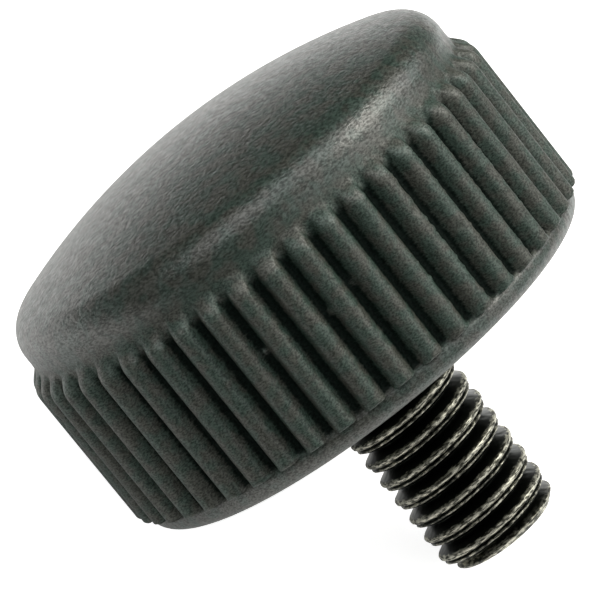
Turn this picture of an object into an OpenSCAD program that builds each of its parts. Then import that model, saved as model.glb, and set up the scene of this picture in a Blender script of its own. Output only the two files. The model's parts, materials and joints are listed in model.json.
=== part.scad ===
// Knurled knob with a domed plastic head moulded round a steel threaded stud.
// Lengths are in millimetres. The knob lies on its side on the plane z = 0, as it comes to rest:
// the stud points to +X and down, the domed cap to -X and up, and its axis is in the XZ plane.
// Each module is drawn about the Z axis, with the flat underside on z = 0, and is then laid down.

/* [Head] */
// Diameter over the ridges
knurl_diameter = 16; // [14:0.1:30]
// Height from the flat underside to the top of the dome
head_height = 8.6; // [8:0.1:16]
// Fall from the top of the dome to the start of the rounded shoulder
shoulder_drop = 2.2; // [1.6:0.01:2.4]
// Radius of the rounded shoulder between wall and dome
shoulder_radius = 1.05; // [0.4:0.05:1.2]
// How far the flange stands out beyond the wall between the ridges
flange_step = 0.16; // [0.06:0.01:0.25]
// Radius of the rounded lower edge of the flange
flange_rounding = 0.5; // [0.2:0.05:0.6]

/* [Ridges] */
// Number of ridges round the head
ridge_count = 48; // [24:2:60]
// Height of a ridge above the wall
ridge_height = 0.44; // [0.34:0.01:0.6]
// Width of a ridge over its rounded crest
ridge_width = 0.58; // [0.4:0.02:0.64]
// Growth of a ridge's half width from crest to wall, on its sloping flanks
ridge_draft = 0.13; // [0.03:0.01:0.16]
// Height of the lower ends of the ridges above the underside
ridge_foot = 0.64; // [0.64:0.02:1.6]
// Gap between the upper ends of the ridges and the rounded shoulder
ridge_gap = 0.52; // [0.1:0.02:1]
// Bevel on the lower end of each ridge
foot_bevel = 0.08; // [0.02:0.01:0.2]
// Fall of the steep bevel at the upper end of each ridge
top_bevel = 0.36; // [0.1:0.02:0.8]
// Length of the gentle bevel below the steep one
top_ease = 1; // [0.1:0.05:1.5]
// Depth of the gentle bevel
top_ease_depth = 0.07; // [0.02:0.01:0.2]

/* [Stud] */
// Outside diameter of the thread
stud_diameter = 4; // [3:0.5:6]
// Pitch of the thread
thread_pitch = 0.7; // [0.5:0.05:1]
// Length of thread that stands out of the underside
stud_length = 6.5; // [4:0.1:30]
// Bevel on the tip of the stud
tip_bevel = 0.3; // [0.2:0.05:0.8]
// Length of the cone where the thread runs out into the shank
run_out = 0.35; // [0.1:0.05:1]
// Height of the anchor head's lower face above the underside of the knob
anchor_height = 2.2; // [1.4:0.1:3]
// Thickness of the anchor head
anchor_thickness = 2.8; // [1.5:0.1:3.2]
// Width of the anchor head across its flats
anchor_flats = 7; // [6.5:0.5:10]

/* [Hidden] */
$fn = 96;
knurl_radius = knurl_diameter / 2;
wall_radius = knurl_radius - ridge_height;
flange_radius = wall_radius + flange_step;
shoulder_height = head_height - shoulder_drop;
ridge_top = shoulder_height - ridge_gap;
stud_radius = stud_diameter / 2;

// The plain shank is a rolled thread's blank, at the thread's pitch diameter.
shank_ratio = 0.65;
shank_radius = (stud_diameter - shank_ratio * thread_pitch) / 2;

// Steps in which the rounded edges and the dome are drawn
shoulder_steps = 8;
dome_steps = 10;
rounding_steps = 6;

// Depth to which one shape reaches into the next, and the room left round a trimmed shape
overlap = 0.2;
margin = 0.05;

// The dome is a sphere that runs smoothly into the rounded shoulder.
shoulder_centre = wall_radius - shoulder_radius;
dome_radius = (pow(shoulder_centre, 2) + pow(shoulder_drop, 2) - pow(shoulder_radius, 2))
            / (2 * (shoulder_drop - shoulder_radius));
dome_centre = head_height - dome_radius;
dome_start = atan2(shoulder_height - dome_centre, shoulder_centre);

// A ridge is a round crest on two flanks that reach below the wall.
// The flanks start inside the crest, and cross its side a little below its centre.
crest_radius = ridge_width / 2;
crest_centre = knurl_radius - crest_radius;
ridge_root = wall_radius - overlap;
flank_top = crest_centre + crest_radius / 5;
flank_slope = ridge_draft / (ridge_height - crest_radius / 2);
flank_inset = 0.005;
flank_half_top = crest_radius - flank_slope * (flank_top - crest_centre) - flank_inset;
flank_half_root = crest_radius + flank_slope * (crest_centre - ridge_root) - flank_inset;
ridge_step = 360 / ridge_count;

// Points of an arc, as radius and height
function arc(centre, radius, from, to, steps) =
    [for (i = [0 : steps])
        let (turn = from + (to - from) * i / steps)
        [centre[0] + radius * cos(turn), centre[1] + radius * sin(turn)]];

rim_points = arc([flange_radius - flange_rounding, flange_rounding], flange_rounding, -90, 0, rounding_steps);
shoulder_points = arc([shoulder_centre, shoulder_height], shoulder_radius, 0, dome_start, shoulder_steps);
dome_points = [for (i = [1 : dome_steps])
    let (turn = dome_start + (90 - dome_start) * i / dome_steps)
    [i == dome_steps ? 0 : dome_radius * cos(turn), dome_centre + dome_radius * sin(turn)]];
body_points = concat(
    [[0, 0]],
    rim_points,
    [[flange_radius, ridge_foot], [wall_radius, ridge_foot]],
    shoulder_points,
    dome_points);

// Outline that trims the ends of the ridges. The gentle bevel starts outside the crests.
ease_start = ridge_top - top_bevel - top_ease - margin * top_ease / top_ease_depth;
trim_points = [
    [ridge_root - overlap, ridge_foot],
    [knurl_radius - foot_bevel, ridge_foot],
    [knurl_radius + margin, ridge_foot + foot_bevel + margin],
    [knurl_radius + margin, ease_start],
    [knurl_radius - top_ease_depth, ridge_top - top_bevel],
    [wall_radius - margin, ridge_top + margin],
    [ridge_root - overlap, ridge_top + margin]];

// Points that may touch the table: the tip's two edges, the flange's rounded rim,
// and the lower ends of the two ridges beside the lowest line
ridge_low = crest_centre * cos(ridge_step / 2) + crest_radius;
tip_edges = [
    [stud_radius, tip_bevel - stud_length],
    [stud_radius - tip_bevel, -stud_length]];
head_edges = concat(
    rim_points,
    [[ridge_low, ridge_foot + foot_bevel]]);
tilt = min([for (t = tip_edges) max([for (h = head_edges) atan2(h[0] - t[0], h[1] - t[1])])]);

// Place on the table, with the middle of the outline over the origin
outline = concat(tip_edges, body_points, [
    [knurl_radius, ridge_foot + foot_bevel],
    [knurl_radius, ridge_top - top_bevel - top_ease],
    [knurl_radius - top_ease_depth, ridge_top - top_bevel]]);
lowest = min([for (p = concat(tip_edges, head_edges)) p[1] * sin(tilt) - p[0] * cos(tilt)]);
left_end = min([for (p = outline) -p[0] * sin(tilt) - p[1] * cos(tilt)]);
right_end = max([for (p = outline) p[0] * sin(tilt) - p[1] * cos(tilt)]);

// Lays a piece down from its own upright axis
module lay_down() {
    translate([-(left_end + right_end) / 2, 0, -lowest])
        rotate([0, tilt - 90, 0])
            children();
}

// One ridge in section: a round crest on tapered flanks
module ridge_section() {
    translate([crest_centre, 0])
        circle(r = crest_radius, $fn = 48);
    polygon([
        [ridge_root, -flank_half_root],
        [flank_top, -flank_half_top],
        [flank_top, flank_half_top],
        [ridge_root, flank_half_root]]);
}

// All ridges, with their ends trimmed
module ridges() {
    intersection() {
        translate([0, 0, ridge_foot])
            linear_extrude(height = ridge_top + overlap - ridge_foot)
                for (i = [0 : ridge_count - 1])
                    rotate((i + 0.5) * ridge_step)
                        ridge_section();
        rotate_extrude()
            polygon(trim_points);
    }
}

// Steel insert: thread at its outside diameter, run-out, plain shank and anchor head
module insert() {
    rotate_extrude()
        polygon([
            [0, -stud_length],
            [stud_radius - tip_bevel, -stud_length],
            [stud_radius, tip_bevel - stud_length],
            [stud_radius, 0],
            [shank_radius, run_out],
            [shank_radius, anchor_height + overlap],
            [0, anchor_height + overlap]]);
    translate([0, 0, anchor_height])
        cylinder(h = anchor_thickness, d = anchor_flats / cos(30), $fn = 6);
}

module knob_head() {
    color([0.09, 0.1, 0.095])
        lay_down()
            difference() {
                union() {
                    rotate_extrude()
                        polygon(body_points);
                    ridges();
                }
                insert();
            }
}

module threaded_stud() {
    color([0.05, 0.05, 0.05])
        lay_down()
            insert();
}

knob_head();
threaded_stud();
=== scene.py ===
import json
import math

import bpy
from mathutils import Matrix, Vector, noise


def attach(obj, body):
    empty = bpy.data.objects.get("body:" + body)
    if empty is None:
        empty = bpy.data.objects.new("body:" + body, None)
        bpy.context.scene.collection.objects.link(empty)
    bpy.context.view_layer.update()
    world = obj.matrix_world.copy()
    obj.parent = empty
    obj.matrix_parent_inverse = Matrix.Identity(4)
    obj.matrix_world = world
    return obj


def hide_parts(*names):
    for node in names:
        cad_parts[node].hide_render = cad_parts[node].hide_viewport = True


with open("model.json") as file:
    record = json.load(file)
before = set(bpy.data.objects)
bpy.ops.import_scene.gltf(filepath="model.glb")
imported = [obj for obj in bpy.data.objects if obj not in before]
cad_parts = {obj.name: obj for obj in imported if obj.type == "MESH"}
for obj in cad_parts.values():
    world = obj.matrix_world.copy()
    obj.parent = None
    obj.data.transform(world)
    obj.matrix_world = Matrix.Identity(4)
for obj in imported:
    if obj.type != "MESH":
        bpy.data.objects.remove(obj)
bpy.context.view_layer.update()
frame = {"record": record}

MM = 0.001

# Head, in millimetres. The visible skin lies a little inside the solid's own surface.
SKIN_INSET = 0.004
KNURL_RADIUS = 8.0 - SKIN_INSET
HEAD_HEIGHT = 8.6 - SKIN_INSET
SHOULDER_DROP = 2.2
SHOULDER_RADIUS = 1.05
RIDGE_COUNT = 48
RIDGE_HEIGHT = 0.44
CREST_RADIUS = 0.315
FLANK_ANGLE = math.radians(24)
ROOT_FILLET = 0.2
RIDGE_FOOT = 0.64
FOOT_ROUNDING = 0.12
FOOT_RAMP = 0.18
FOOT_BLEND = 0.04
RIDGE_TOP = 5.98
RIDGE_NOSE = 0.98
NOSE_POWER = 2.4
FLANGE_STEP = 0.16
FLANGE_ROUNDING = 0.5
FLANGE_BEVEL = 0.03
FLANGE_BEVEL_DEPTH = 0.025
HEAD_SHARP_ANGLE = math.radians(60)
WALL_RADIUS = KNURL_RADIUS - RIDGE_HEIGHT
FLANGE_RADIUS = WALL_RADIUS + FLANGE_STEP
SHOULDER_HEIGHT = HEAD_HEIGHT - SHOULDER_DROP
RIDGE_STEP = 2 * math.pi / RIDGE_COUNT
RIDGE_MIDDLE_RADIUS = WALL_RADIUS + RIDGE_HEIGHT / 2
RIDGE_PITCH = RIDGE_STEP * RIDGE_MIDDLE_RADIUS
CREST_CENTRE = RIDGE_HEIGHT - CREST_RADIUS

# Stud, in millimetres
STUD_RADIUS = 1.96
STUD_LENGTH = 6.5
TIP_BEVEL = 0.3
TIP_BLEND = 0.08
PITCH = 0.7
THREAD_START = 0.655
THREAD_DEPTH = 0.42
THREAD_FLANK_ANGLE = math.radians(30)
THREAD_CREST_HALF = 0.05
THREAD_CREST_BLEND = 0.05
THREAD_ROOT_BLEND = 0.08
LIP_PLACE = 0.2
LIP_HALF = 0.02
LIP_DROP = 0.065
SHANK_RADIUS = 1.7725
RUN_OUT = 0.35
ANCHOR_HEIGHT = 2.2
ANCHOR_THICKNESS = 2.8
ANCHOR_FLATS = 7.0
ANCHOR_TOP = ANCHOR_HEIGHT + ANCHOR_THICKNESS
STUD_SHARP_ANGLE = math.radians(50)

# Shallow dents: depth in millimetres, and how close they lie round the axis and along it.
# On the flange they grow to their full depth at a height above the flat underside.
FLANGE_DENT = 0.02
FLANGE_DENTS_ROUND = 30
FLANGE_DENTS_ALONG = 2
FLANGE_DENT_HEIGHT = 0.3
THREAD_DENT = 0.025
THREAD_DENTS_ROUND = 9
THREAD_DENTS_ALONG = 6

# Burrs on one edge of each ridge, in millimetres: length along the ridge, how far they stand out,
# and the stretches across the ridge where they grow and fade
BURR_LENGTH = 0.17
BURR_REACH = 0.09
BURR_GROWS = (0.15, 0.22)
BURR_FADES = (0.36, 0.3)

# Where the burrs are cut out of the noise: the step from ridge to ridge, and the layer
BURR_NOISE_STEP = 3.7
BURR_NOISE_LAYER = 5.0

# Marks of wear and moulding on the ridges: turn round the axis in degrees, height, reach and depth.
# A mark with a negative depth stands out.
WEAR_MARKS = (
    (-5.0, 2.83, 0.17, 0.1),
    (-6.0, 2.6, 0.1, 0.06),
    (26.1, 3.32, 0.07, -0.03),
    (-52.4, 3.64, 0.1, -0.16),
    (-36.7, 3.44, 0.11, -0.14),
    (-29.7, 3.67, 0.09, -0.12),
    (-117.0, 4.53, 0.14, 0.12),
    (-10.3, 4.1, 0.1, 0.05),
    (-26.5, 2.2, 0.12, 0.04),
    (10.0, 1.7, 0.12, 0.05))

# Square of the distance from a mark, counted in its reach, where the mark has faded out
WEAR_FADED = 6

# Sizes of the grain across the knob's axis and along it, in millimetres
CAP_GRAIN = (0.13, 0.055)
RIDGE_GRAIN = (0.075, 0.045)
GROOVE_GRAIN = (0.2, 0.067)
STEEL_GRAIN = (0.22, 0.05)

# Closeness of the coarser noises, in waves per millimetre
COARSE_WAVES = 5.0
CLOUD_WAVES = 1.8
PATCH_WAVES = 3.0

# Range in which most values of a noise lie
NOISE_LOW = 0.3
NOISE_HIGH = 0.7

# The stud's mount gives the knob's axis and the middle of its underside.
stud_mount = [m for m in frame["record"]["mounts"] if m["name"] == "stud"][0]
cap_axis = -Vector(stud_mount["axis"]).normalized()
side_axis = Vector((0, 1, 0))
low_axis = side_axis.cross(cap_axis)
underside = Vector(stud_mount["pos_m"]) + cap_axis * (stud_mount["dims"]["length_mm"] * MM / 2)
lay_down = Matrix((low_axis, side_axis, cap_axis)).transposed().to_4x4()
lay_down.translation = underside


def smooth_min(a, b, width):
    near = max(width - abs(a - b), 0.0) / width
    return min(a, b) - near * near * width / 4


def smooth_max(a, b, width):
    return -smooth_min(-a, -b, width)


def smooth_step(low, high, value):
    share = min(max((value - low) / (high - low), 0.0), 1.0)
    return share * share * (3 - 2 * share)


def on_circle(radius, turn, height):
    return (radius * math.cos(turn), radius * math.sin(turn), height)


def dent_share(turn, height, round_count, along_count):
    """Share of a dent's full depth at a place round the axis."""
    return abs(noise.noise(Vector(on_circle(round_count, turn, height * along_count))))


def hexagon_radius(turn):
    """Distance from the axis to the side of the anchor's hexagon."""
    sixth = math.pi / 3
    return ANCHOR_FLATS / 2 / math.cos(turn % sixth - sixth / 2)


def snap_to_corner(turn, reach):
    """Moves a turn to the nearest corner of the hexagon, if that is within reach."""
    sixth = math.pi / 3
    corner = round(turn / sixth) * sixth
    if abs(turn - corner) < reach:
        turn = corner
    return turn


def ring_faces(low, high, count):
    """Faces between two rings of points. A ring is named by its first point."""
    faces = []
    for i in range(count):
        j = (i + 1) % count
        faces.append((low + i, low + j, high + j, high + i))
    return faces


def fan_faces(ring, count, centre):
    """Faces between a ring of points and a point on the axis."""
    return [(ring + i, ring + (i + 1) % count, centre) for i in range(count)]


def turned_over(faces):
    """The same faces, looking the other way."""
    return [tuple(reversed(face)) for face in faces]


def add_object(name, data):
    """Makes an object and puts it in the scene."""
    thing = bpy.data.objects.new(name, data)
    bpy.context.scene.collection.objects.link(thing)
    return thing


def make_piece(name, points, faces, sharp_angle):
    """Makes a smooth-shaded piece from points in millimetres about the knob's own axis."""
    mesh = bpy.data.meshes.new(name)
    mesh.from_pydata([lay_down @ (Vector(point) * MM) for point in points], [], faces)
    mesh.validate()
    mesh.shade_smooth()
    mesh.set_sharp_from_angle(angle=sharp_angle)
    return add_object(name, mesh)


# Head


def ridge_section(across):
    """Height of a ridge above the wall, at a distance across it from its middle."""
    height = CREST_CENTRE + (CREST_RADIUS / math.cos(FLANK_ANGLE) - abs(across)) / math.tan(FLANK_ANGLE)
    if abs(across) < CREST_RADIUS * math.cos(FLANK_ANGLE):
        height = CREST_CENTRE + math.sqrt(CREST_RADIUS ** 2 - across ** 2)
    return smooth_max(height, 0.0, ROOT_FILLET)


def ridge_end(height):
    """Share of a ridge's full height that is left in the rounded nose at its upper end."""
    return 1 - smooth_step(RIDGE_TOP - RIDGE_NOSE, RIDGE_TOP, height) ** NOSE_POWER


def foot_limit(height):
    """Largest radius of a ridge near its rounded lower end."""
    along = min((height - RIDGE_FOOT) / FOOT_ROUNDING, 1.0)
    return KNURL_RADIUS - FOOT_ROUNDING * (1 - math.sqrt(1 - (1 - along) ** 2))


def groove_floor(height):
    """Radius of the floor of the grooves, which rises to the flange at their lower ends."""
    return FLANGE_RADIUS - FLANGE_STEP * smooth_step(RIDGE_FOOT, RIDGE_FOOT + FOOT_RAMP, height)


def edge_burr(ridge, across, height):
    """Small burr that stands out across one edge of a ridge, different on each ridge."""
    edge = smooth_step(*BURR_GROWS, across) * smooth_step(*BURR_FADES, across)
    place = Vector((ridge * BURR_NOISE_STEP, height / BURR_LENGTH, BURR_NOISE_LAYER))
    return edge * (max(noise.noise(place), 0.0) * BURR_REACH)


def wear_depth(turn, height):
    """Depth of the marks of wear at a place on the ridges."""
    depth = 0.0
    for mark_turn, mark_height, reach, mark_depth in WEAR_MARKS:
        away = (turn - math.radians(mark_turn) + math.pi) % (2 * math.pi) - math.pi
        span = ((away * KNURL_RADIUS) ** 2 + (height - mark_height) ** 2) / reach ** 2
        if span < WEAR_FADED:
            depth += mark_depth * math.exp(-span)
    return depth


def ridge_columns():
    """Places round the head, as ridge number and distance across the ridge from its middle."""
    crest_turns = (12, 24, 36, 48)
    flank_shares = (0.0, 0.35, 0.7, 1.0, 1.4)
    flank_top = CREST_RADIUS * math.cos(FLANK_ANGLE)
    flank_foot = CREST_RADIUS / math.cos(FLANK_ANGLE) + CREST_CENTRE * math.tan(FLANK_ANGLE)
    side = [CREST_RADIUS * math.sin(math.radians(turn)) for turn in crest_turns]
    side += [flank_top + (flank_foot - flank_top) * share for share in flank_shares]
    across = [-x for x in reversed(side)] + [0.0] + side + [RIDGE_PITCH / 2]
    return [(ridge, x) for ridge in range(RIDGE_COUNT) for x in across]


def ridge_rows():
    """Heights of the rows of points along the ridges, closer together at both ends."""
    foot_shares = (0.03, 0.13, 0.29, 0.5, 0.74, 1.0)
    row_step = 0.09
    nose_steps = 20
    rows = [RIDGE_FOOT + FOOT_ROUNDING * share for share in foot_shares]
    plain_start = rows[-1]
    plain_end = RIDGE_TOP - RIDGE_NOSE
    plain_steps = round((plain_end - plain_start) / row_step)
    rows += [plain_start + (plain_end - plain_start) * i / plain_steps for i in range(1, plain_steps + 1)]
    rows += [plain_end + RIDGE_NOSE * i / nose_steps for i in range(1, nose_steps + 1)]
    return rows


def flange_outline():
    """Radius and height of the flange, from the flat underside up to the ridges' feet."""
    steps = 9
    centre = FLANGE_RADIUS - FLANGE_ROUNDING
    outline = []
    for i in range(steps + 1):
        turn = math.pi / 2 * (i / steps - 1)
        outline.append((centre + FLANGE_ROUNDING * math.cos(turn), FLANGE_ROUNDING * (1 + math.sin(turn))))
    outline.append((FLANGE_RADIUS, RIDGE_FOOT - FLANGE_BEVEL))
    outline.append((FLANGE_RADIUS - FLANGE_BEVEL_DEPTH, RIDGE_FOOT))
    return outline


def cap_outline():
    """Radius and height of the wall above the ridges, the shoulder and the dome."""
    wall_rows = (0.15, 0.35)
    steps = 22
    centre = WALL_RADIUS - SHOULDER_RADIUS
    squares = centre ** 2 + SHOULDER_DROP ** 2 - SHOULDER_RADIUS ** 2
    dome = squares / (2 * (SHOULDER_DROP - SHOULDER_RADIUS))
    dome_centre = HEAD_HEIGHT - dome
    start = math.atan2(SHOULDER_HEIGHT - dome_centre, centre)
    outline = [(WALL_RADIUS, RIDGE_TOP + row) for row in wall_rows]
    for i in range(steps + 1):
        turn = start * i / steps
        radius = centre + SHOULDER_RADIUS * math.cos(turn)
        outline.append((radius, SHOULDER_HEIGHT + SHOULDER_RADIUS * math.sin(turn)))
    for i in range(1, steps):
        turn = start + (math.pi / 2 - start) * i / steps
        outline.append((dome * math.cos(turn), dome_centre + dome * math.sin(turn)))
    return outline


def flange_ring(radius, height, turns):
    """Ring of points on the flange, with its dents."""
    rise = smooth_step(0.0, FLANGE_DENT_HEIGHT, height)
    ring = []
    for turn in turns:
        dent = FLANGE_DENT * dent_share(turn, height, FLANGE_DENTS_ROUND, FLANGE_DENTS_ALONG)
        ring.append(on_circle(radius - dent * rise, turn, height))
    return ring


def ridge_ring(height, columns, turns):
    """Ring of points over all ridges and grooves, with their marks of wear and their burrs."""
    end = ridge_end(height)
    ring = []
    for (ridge, across), turn in zip(columns, turns):
        radius = min(WALL_RADIUS + ridge_section(across) * end, foot_limit(height))
        radius = smooth_max(radius, groove_floor(height), FOOT_BLEND) - wear_depth(turn, height)
        shifted = turn + edge_burr(ridge, across, height) * end / RIDGE_MIDDLE_RADIUS
        ring.append(on_circle(radius, shifted, height))
    return ring


def build_head():
    """Makes the head in one closed mesh, with fewer columns of points on the cap and in the socket."""
    columns = ridge_columns()
    turns = [(ridge + 0.5) * RIDGE_STEP + across / RIDGE_MIDDLE_RADIUS for ridge, across in columns]
    fine = len(columns)
    step = 5
    coarse = fine // step
    coarse_turns = turns[::step]
    points = []
    faces = []

    def add_ring(ring):
        first = len(points)
        points.extend(ring)
        return first

    def faces_to_coarse(low, high):
        between = []
        for i in range(coarse):
            below = [low + (i * step + k) % fine for k in range(step + 1)]
            between.append((*below, high + (i + 1) % coarse, high + i))
        return between

    # Flange and ridges
    rings = [flange_ring(radius, height, turns) for radius, height in flange_outline()]
    rings += [ridge_ring(height, columns, turns) for height in ridge_rows()]
    underside_ring = add_ring(rings[0])
    last = underside_ring
    for ring in rings[1:]:
        first = add_ring(ring)
        faces.extend(ring_faces(last, first, fine))
        last = first

    # Cap
    rings = [[on_circle(radius, turn, height) for turn in coarse_turns] for radius, height in cap_outline()]
    first = add_ring(rings[0])
    faces.extend(faces_to_coarse(last, first))
    last = first
    for ring in rings[1:]:
        first = add_ring(ring)
        faces.extend(ring_faces(last, first, coarse))
        last = first
    top = add_ring([(0, 0, HEAD_HEIGHT)])
    faces.extend(fan_faces(last, coarse, top))

    # Flat underside, and the socket that grips the stud
    socket_turns = [snap_to_corner(turn, math.pi / coarse) for turn in coarse_turns]
    rings = [
        [on_circle(STUD_RADIUS, turn, 0.0) for turn in socket_turns],
        [on_circle(SHANK_RADIUS, turn, RUN_OUT) for turn in socket_turns],
        [on_circle(SHANK_RADIUS, turn, ANCHOR_HEIGHT) for turn in socket_turns],
        [on_circle(hexagon_radius(turn), turn, ANCHOR_HEIGHT) for turn in socket_turns],
        [on_circle(hexagon_radius(turn), turn, ANCHOR_TOP) for turn in socket_turns]]
    last = add_ring(rings[0])
    faces.extend(turned_over(faces_to_coarse(underside_ring, last)))
    for ring in rings[1:]:
        first = add_ring(ring)
        faces.extend(turned_over(ring_faces(last, first, coarse)))
        last = first
    top = add_ring([(0, 0, ANCHOR_TOP)])
    faces.extend(turned_over(fan_faces(last, coarse, top)))
    return make_piece("head_moulding", points, faces, HEAD_SHARP_ANGLE)


# Stud


def thread_drop(offset):
    """Depth below the crest at a distance along the axis from the crest's middle."""
    slope = math.tan(THREAD_FLANK_ANGLE)
    crest = smooth_max((abs(offset) - THREAD_CREST_HALF) / slope, 0.0, THREAD_CREST_BLEND)
    lip = LIP_DROP + max(abs(offset + LIP_PLACE) - LIP_HALF, 0.0) / slope
    return smooth_min(min(crest, lip), THREAD_DEPTH, THREAD_ROOT_BLEND)


def thread_radius(turn, height):
    """Radius of the threaded rod, with its dents, its bevelled tip and its run-out."""
    share = height / PITCH - turn / (2 * math.pi) + THREAD_START
    offset = (share % 1.0 - 0.5) * PITCH
    dent = THREAD_DENT * dent_share(turn, height, THREAD_DENTS_ROUND, THREAD_DENTS_ALONG)
    radius = STUD_RADIUS - thread_drop(offset) - dent
    tip_radius = STUD_RADIUS - TIP_BEVEL
    radius = smooth_min(radius, tip_radius + height + STUD_LENGTH, TIP_BLEND)
    if height > 0:
        radius += (SHANK_RADIUS - radius) * min(height / RUN_OUT, 1.0)
    return radius


def build_stud():
    """Makes the stud in one closed mesh, from its tip to the anchor inside the head."""
    columns = 168
    rows_per_pitch = 38
    tip_shares = (0.35, 0.7, 0.9)
    turns = [2 * math.pi * i / columns for i in range(columns)]
    rod_length = STUD_LENGTH + RUN_OUT
    rows = math.ceil(rod_length / PITCH * rows_per_pitch)
    rings = []
    for share in tip_shares:
        rings.append([on_circle(share * (STUD_RADIUS - TIP_BEVEL), turn, -STUD_LENGTH) for turn in turns])
    for row in range(rows + 1):
        height = -STUD_LENGTH + rod_length * row / rows
        rings.append([on_circle(thread_radius(turn, height), turn, height) for turn in turns])
    rings.append([on_circle(SHANK_RADIUS, turn, ANCHOR_HEIGHT) for turn in turns])
    rings.append([on_circle(hexagon_radius(turn), turn, ANCHOR_HEIGHT) for turn in turns])
    rings.append([on_circle(hexagon_radius(turn), turn, ANCHOR_TOP) for turn in turns])
    points = [point for ring in rings for point in ring]
    last_ring = len(points) - columns
    faces = []
    for low in range(0, last_ring, columns):
        faces.extend(ring_faces(low, low + columns, columns))
    tip_centre = len(points)
    points.append((0, 0, -STUD_LENGTH))
    faces.extend(turned_over(fan_faces(0, columns, tip_centre)))
    top_centre = len(points)
    points.append((0, 0, ANCHOR_TOP))
    faces.extend(fan_faces(last_ring, columns, top_centre))
    return make_piece("stud_thread", points, faces, STUD_SHARP_ANGLE)


# Materials


def add_node(tree, kind, inputs=(), **settings):
    """Adds a shader node. An input is a value for its socket, or another node's output to link."""
    node = tree.nodes.new(kind)
    for name, value in settings.items():
        setattr(node, name, value)
    for name, value in dict(inputs).items():
        if isinstance(value, bpy.types.NodeSocket):
            tree.links.new(value, node.inputs[name])
        else:
            node.inputs[name].default_value = value
    return node


def add_math(tree, operation, first, second=0.0, third=0.0):
    return add_node(tree, "ShaderNodeMath", {0: first, 1: second, 2: third}, operation=operation).outputs[0]


def add_range(tree, value, low, high, new_low=0.0, new_high=1.0):
    """Goes smoothly from one new value to the other as a value goes from low to high."""
    sockets = {"Value": value, "From Min": low, "From Max": high, "To Min": new_low, "To Max": new_high}
    return add_node(tree, "ShaderNodeMapRange", sockets, interpolation_type="SMOOTHSTEP").outputs[0]


def by_share(tree, share, at_none, at_full):
    """Goes smoothly from one value to the other as a share goes from 0 to 1."""
    return add_range(tree, share, 0.0, 1.0, at_none, at_full)


def by_noise(tree, value, at_low, at_high):
    """Goes smoothly from one value to the other over the range in which most of a noise lies."""
    return add_range(tree, value, NOISE_LOW, NOISE_HIGH, at_low, at_high)


def add_noise(tree, place, scale, detail=2.0, rough=0.5):
    sockets = {"Vector": place, "Scale": scale, "Detail": detail, "Roughness": rough}
    return add_node(tree, "ShaderNodeTexNoise", sockets).outputs["Fac"]


def grain_noise(tree, place, grain, detail=2.0, rough=0.6):
    """Noise with one grain size across the knob's axis and another along it, in millimetres."""
    across, along = grain
    sockets = {0: place, 1: (across, across, along)}
    scaled = add_node(tree, "ShaderNodeVectorMath", sockets, operation="DIVIDE").outputs[0]
    return add_noise(tree, scaled, 1.0, detail, rough)


def add_mix(tree, share, first, second):
    return add_node(tree, "ShaderNodeMix", {0: share, 6: first, 7: second}, data_type="RGBA").outputs[2]


def add_bump(tree, relief, strength, depth):
    """Normal of a surface whose relief has a depth in millimetres."""
    sockets = {"Height": relief, "Strength": strength, "Distance": depth * MM}
    return add_node(tree, "ShaderNodeBump", sockets).outputs[0]


def knob_place(tree):
    """Place on the knob in millimetres, about its own axis."""
    object_place = add_node(tree, "ShaderNodeTexCoord").outputs["Object"]
    sockets = {
        "Vector": object_place,
        "Location": lay_down.translation,
        "Rotation": lay_down.to_euler(),
        "Scale": (MM, MM, MM)}
    return add_node(tree, "ShaderNodeMapping", sockets, vector_type="TEXTURE").outputs[0]


def new_material(name):
    material = bpy.data.materials.new(name)
    material.use_nodes = True
    tree = material.node_tree
    return material, tree, tree.nodes["Principled BSDF"]


def axis_distance(tree, place):
    """Distance from the knob's axis, and height along it."""
    axes = add_node(tree, "ShaderNodeSeparateXYZ", {0: place}).outputs
    first_square = add_math(tree, "POWER", axes[0], 2.0)
    second_square = add_math(tree, "POWER", axes[1], 2.0)
    return add_math(tree, "SQRT", add_math(tree, "ADD", first_square, second_square)), axes[2]


def groove_opening(tree, place, radius, height):
    """Share by which the surface is open to the light, which sets where shade is painted: none deep in the
    grooves, with an uneven edge.
    """
    uneven_reach = 0.025
    groove_side = (WALL_RADIUS + 0.03, WALL_RADIUS + 0.17)
    groove_top = (RIDGE_TOP - 0.72, RIDGE_TOP - 0.35)
    groove_foot = (RIDGE_FOOT + FOOT_RAMP * 0.7, RIDGE_FOOT)
    groove_noise = grain_noise(tree, place, GROOVE_GRAIN, detail=1.0)
    uneven = by_noise(tree, groove_noise, -uneven_reach, uneven_reach)
    beside = add_range(tree, add_math(tree, "ADD", radius, uneven), *groove_side)
    above = add_range(tree, height, *groove_top)
    below = add_range(tree, height, *groove_foot)
    return add_math(tree, "MAXIMUM", beside, add_math(tree, "MAXIMUM", above, below))


def nose_painted_highlight(tree, radius, height):
    """Share by which the surface is painted paler, as a painted highlight, and made glossier, which is most
    on the ridges' noses.
    """
    nose_start = (RIDGE_TOP - 0.85, RIDGE_TOP - 0.5)
    nose_side = (WALL_RADIUS + 0.08, WALL_RADIUS + 0.3)
    on_nose = add_range(tree, height, *nose_start)
    return add_math(tree, "MULTIPLY", on_nose, add_range(tree, radius, *nose_side))


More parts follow.
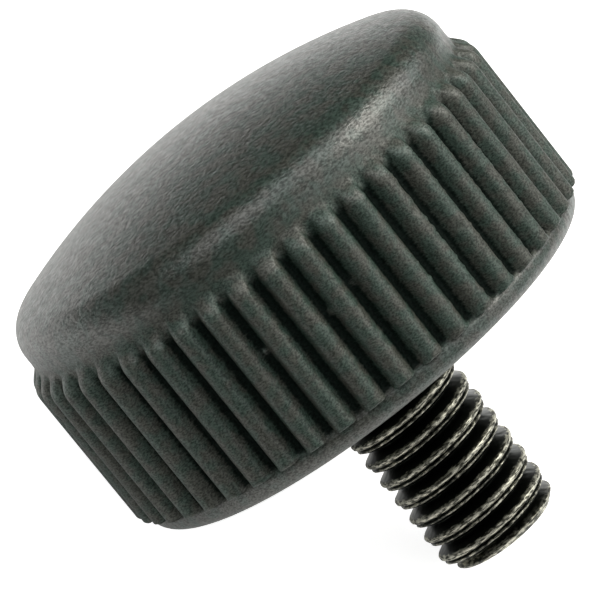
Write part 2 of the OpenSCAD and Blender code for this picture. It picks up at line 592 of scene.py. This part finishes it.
def plastic_material():
    """Dark moulded plastic with a fine eroded grain, with shade painted black in the grooves between the
    ridges and a highlight painted on the ridges' noses.
    """
    material, tree, shader = new_material("knob_plastic")
    place = knob_place(tree)
    radius, height = axis_distance(tree, place)
    coarse = add_noise(tree, place, COARSE_WAVES)
    open_share = groove_opening(tree, place, radius, height)
    # Painted highlight on the ridges' noses, which are also made glossier.
    nose_highlight = nose_painted_highlight(tree, radius, height)
    nose_highlight_gain = 0.3

    # Cap and flange are smoother and glossier than the ridges, and the cap has a coarser grain.
    cap_edge = (RIDGE_TOP - 0.2, RIDGE_TOP + 0.4)
    flange_edge = (RIDGE_FOOT + 0.05, RIDGE_FOOT - 0.05)
    flange_share = 0.85
    on_cap = add_range(tree, height, *cap_edge)
    on_flange = add_range(tree, height, *flange_edge, 0.0, flange_share)
    smoother = add_math(tree, "MAXIMUM", on_cap, on_flange)
    ridge_grain = grain_noise(tree, place, RIDGE_GRAIN)
    cap_grain = grain_noise(tree, place, CAP_GRAIN)
    grain = add_node(tree, "ShaderNodeMix", {0: on_cap, 2: ridge_grain, 3: cap_grain}).outputs[0]

    # Colour: green and brown clouds, painted shade that turns the grooves black, and a light and dark grain
    green = (0.029, 0.05, 0.038, 1)
    brown = (0.045, 0.049, 0.039, 1)
    # Painted shade: black is the colour given to the grooves where they lie deep in shade.
    black = (0.004, 0.008, 0.006, 1)
    cloud_edge = (0.38, 0.62)
    ridge_shade = 1.1
    grain_tones = (0.5, 1.5)
    cloud = add_range(tree, add_noise(tree, place, CLOUD_WAVES), *cloud_edge)
    hue = add_mix(tree, open_share, black, add_mix(tree, cloud, green, brown))
    shade = by_share(tree, smoother, ridge_shade, 1.0)
    # Painted highlight: the ridges' noses are painted paler.
    shade = add_math(tree, "MULTIPLY_ADD", nose_highlight, nose_highlight_gain, shade)
    tone = add_math(tree, "MULTIPLY", by_noise(tree, grain, *grain_tones), shade)
    speckled = add_node(tree, "ShaderNodeVectorMath", {0: hue, "Scale": tone}, operation="SCALE").outputs[0]
    tree.links.new(speckled, shader.inputs["Base Color"])

    # Gloss, cut down deep in the grooves as painted shade
    ridge_gloss = 0.6
    groove_shade_gloss = 0.12
    grain_gloss = (0.4, 1.0)
    gloss = by_share(tree, smoother, ridge_gloss, 1.0)
    gloss = add_math(tree, "MULTIPLY_ADD", nose_highlight, nose_highlight_gain, gloss)
    gloss = add_math(tree, "MULTIPLY", by_noise(tree, grain, *grain_gloss), gloss)
    gloss = add_math(tree, "MULTIPLY", gloss, by_share(tree, open_share, groove_shade_gloss, 1.0))
    tree.links.new(gloss, shader.inputs["Specular IOR Level"])
    shader.inputs["IOR"].default_value = 1.6

    # Roughness
    ridge_roughness = (0.48, 0.58)
    smoother_by = 0.16
    rough = by_noise(tree, coarse, *ridge_roughness)
    rough = add_math(tree, "MULTIPLY_ADD", smoother, -smoother_by, rough)
    tree.links.new(rough, shader.inputs["Roughness"])

    # Relief, which grows stronger from the shoulder to the dome
    relief_depth = 0.036
    relief_strengths = (0.5, 1.0)
    dome_rise = (SHOULDER_HEIGHT, HEAD_HEIGHT - 1)
    grain_part = 0.6
    relief = add_math(tree, "MULTIPLY", coarse, 1 - grain_part)
    relief = add_math(tree, "MULTIPLY_ADD", grain, grain_part, relief)
    strength = add_range(tree, height, *dome_rise, *relief_strengths)
    tree.links.new(add_bump(tree, relief, strength, relief_depth), shader.inputs["Normal"])
    return material


def steel_material():
    """Blackened steel, worn to a rough mottled grey on the crests of the thread and at the tip."""
    material, tree, shader = new_material("black_steel")
    place = knob_place(tree)
    radius, height = axis_distance(tree, place)
    patches = add_noise(tree, place, PATCH_WAVES, detail=3.0, rough=0.7)
    grit = grain_noise(tree, place, STEEL_GRAIN, detail=3.0)

    # Share by which the surface is worn, in patches
    patch_reach = 0.25
    crest_edge = (STUD_RADIUS, STUD_RADIUS + 0.08)
    tip_edge = (TIP_BEVEL * 1.2 - STUD_LENGTH, TIP_BEVEL * 0.6 - STUD_LENGTH)
    tip_patch_edge = (0.33, 0.55)
    patchy_radius = add_math(tree, "MULTIPLY_ADD", patches, patch_reach, radius)
    worn_crest = add_range(tree, patchy_radius, *crest_edge)
    at_tip = add_range(tree, height, *tip_edge)
    worn_tip = add_math(tree, "MULTIPLY", at_tip, add_range(tree, patches, *tip_patch_edge))
    worn = add_math(tree, "MAXIMUM", worn_crest, worn_tip)

    # Colour, roughness and relief, from unworn to worn
    black = (0.03, 0.033, 0.029, 1)
    dull = (0.06, 0.06, 0.048, 1)
    bright = (0.72, 0.71, 0.6, 1)
    grit_edge = (0.4, 0.62)
    roughness = (0.28, 0.5)
    relief_strengths = (0.05, 0.4)
    relief_depth = 0.03
    mottled = add_mix(tree, add_range(tree, grit, *grit_edge), dull, bright)
    shader.inputs["Metallic"].default_value = 1.0
    tree.links.new(add_mix(tree, worn, black, mottled), shader.inputs["Base Color"])
    tree.links.new(by_share(tree, worn, *roughness), shader.inputs["Roughness"])
    strength = by_share(tree, worn, *relief_strengths)
    tree.links.new(add_bump(tree, grit, strength, relief_depth), shader.inputs["Normal"])
    return material


head = build_head()
head.data.materials.append(plastic_material())
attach(head, "root")
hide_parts("knob_head")

stud = build_stud()
stud.data.materials.append(steel_material())
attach(stud, "root")
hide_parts("threaded_stud")

# Floor, in metres

FLOOR_REACH = 0.06
FLOOR_SIDES = 64
floor_edge = [on_circle(FLOOR_REACH, 2 * math.pi * i / FLOOR_SIDES, 0) for i in range(FLOOR_SIDES)]
floor_mesh = bpy.data.meshes.new("floor")
floor_mesh.from_pydata(floor_edge, [], [range(FLOOR_SIDES)])
floor = add_object("floor", floor_mesh)


def floor_material():
    """White sheet that still takes the knob's shadow, shows white where it is seen, and in the knob's
    reflections shows a painted glow with a painted shadow.
    """
    material, tree, shader = new_material("floor_white")
    shader.inputs["Base Color"].default_value = (0.85, 0.85, 0.85, 1)
    shader.inputs["Roughness"].default_value = 0.9
    shader.inputs["Specular IOR Level"].default_value = 0.0
    paths = add_node(tree, "ShaderNodeLightPath").outputs
    place = add_node(tree, "ShaderNodeTexCoord").outputs["Object"]

    # Painted reflection: for glossy rays the floor glows, so the knob mirrors a floor that is bright behind
    # it and to its left, and dim in front as a painted shadow.
    painted_shadow_glow = 0.05
    back_glow = 0.8
    left_glow = 0.5
    back_edge = (-0.012, 0.022)
    left_edge = (-0.005, -0.014)
    to_back = (0.1, 0.99, 0)
    depth = add_node(tree, "ShaderNodeVectorMath", {0: place, 1: to_back}, operation="DOT_PRODUCT")
    behind = add_range(tree, depth.outputs["Value"], *back_edge, painted_shadow_glow, back_glow)
    across = add_node(tree, "ShaderNodeSeparateXYZ", {0: place}).outputs[0]
    on_left = add_range(tree, across, *left_edge, painted_shadow_glow, left_glow)
    painted_reflection_glow = add_math(tree, "MAXIMUM", behind, on_left)
    painted_reflection = add_math(tree, "MULTIPLY", paths["Is Glossy Ray"], painted_reflection_glow)

    # Where it is seen, its own glow and the lamps' light together show white.
    seen_glow = 0.88
    seen = add_math(tree, "MAXIMUM", paths["Is Camera Ray"], paths["Is Transmission Ray"])
    seen = add_math(tree, "MULTIPLY", seen, seen_glow)
    shader.inputs["Emission Color"].default_value = (1, 1, 1, 1)
    tree.links.new(add_math(tree, "MAXIMUM", seen, painted_reflection), shader.inputs["Emission Strength"])
    return material


floor_mesh.materials.append(floor_material())

# Camera, from the knob's place and slant in the photograph

IMAGE_SIZE = 600
PIXELS_PER_MM = 34.693
DISTANCE_IN_PIXELS = 4600
SLANT = math.radians(11.596)
FRONT_TURN = math.radians(-36.92)
PICTURE_AXIS = math.radians(51.316)
UNDERSIDE_PIXEL = Vector((367.6, 360.6))
PIXEL = MM / PIXELS_PER_MM
DISTANCE = DISTANCE_IN_PIXELS * PIXEL

front = low_axis * math.cos(FRONT_TURN) + side_axis * math.sin(FRONT_TURN)
back = front * math.cos(SLANT) + cap_axis * math.sin(SLANT)
along = (cap_axis.dot(back) * back - cap_axis).normalized()
right = along * math.cos(PICTURE_AXIS) + back.cross(along) * math.sin(PICTURE_AXIS)
up = back.cross(right)
shift = (UNDERSIDE_PIXEL - Vector((IMAGE_SIZE / 2, IMAGE_SIZE / 2))) * PIXEL
camera_data = bpy.data.cameras.new("camera")
camera_data.lens = camera_data.sensor_width * DISTANCE / (IMAGE_SIZE * PIXEL)
camera_data.clip_start = 0.005
camera_data.clip_end = 10
camera = add_object("camera", camera_data)
camera.matrix_world = Matrix((right, up, back)).transposed().to_4x4()
camera.matrix_world.translation = underside + back * DISTANCE - right * shift.x + up * shift.y
bpy.context.scene.camera = camera

# Light, in metres and watts


def soft_box(name, towards, distance, long_side, size, power, colour=(1, 1, 1)):
    """Adds a rectangular lamp that faces the knob, with its first side along a given direction."""
    data = bpy.data.lights.new(name, "AREA")
    data.shape = "RECTANGLE"
    data.size, data.size_y = size
    data.energy = power
    data.color = colour
    lamp = add_object(name, data)
    away = Vector(towards).normalized()
    across = Vector(long_side)
    across = (across - across.dot(away) * away).normalized()
    lamp.matrix_world = Matrix((across, away.cross(across), away)).transposed().to_4x4()
    lamp.matrix_world.translation = away * distance


soft_box(
    "overhead", towards=(-0.09, -0.17, 0.97), distance=0.3,
    long_side=(0.51, 0.86, 0), size=(0.56, 0.22), power=0.6)
soft_box(
    "right_back", towards=(0.32, 0.5, 0.8), distance=0.32,
    long_side=(0.95, -0.1, 0), size=(0.18, 0.1), power=0.47, colour=(1, 0.97, 0.88))
soft_box(
    "far_right", towards=(0.25, 0.82, 0.5), distance=0.32,
    long_side=(0, 0, 1), size=(0.16, 0.16), power=0.2)
soft_box(
    "front", towards=(0.82, 0.1, 0.56), distance=0.4,
    long_side=(0, 1, 0), size=(0.45, 0.3), power=0.36)
soft_box(
    "right", towards=(0.84, 0.5, 0.22), distance=0.4,
    long_side=(-0.5, 0.84, 0), size=(0.3, 0.12), power=0.14)

# The world is white where the camera sees it, and lights the knob only faintly.
WORLD_LIGHT = 0.08
world = bpy.data.worlds.new("studio")
world.use_nodes = True
background = world.node_tree.nodes["Background"]
background.inputs["Color"].default_value = (1, 1, 1, 1)
camera_ray = add_node(world.node_tree, "ShaderNodeLightPath").outputs["Is Camera Ray"]
world_strength = by_share(world.node_tree, camera_ray, WORLD_LIGHT, 1.0)
world.node_tree.links.new(world_strength, background.inputs["Strength"])
bpy.context.scene.world = world
bpy.context.scene.view_settings.view_transform = "Standard"
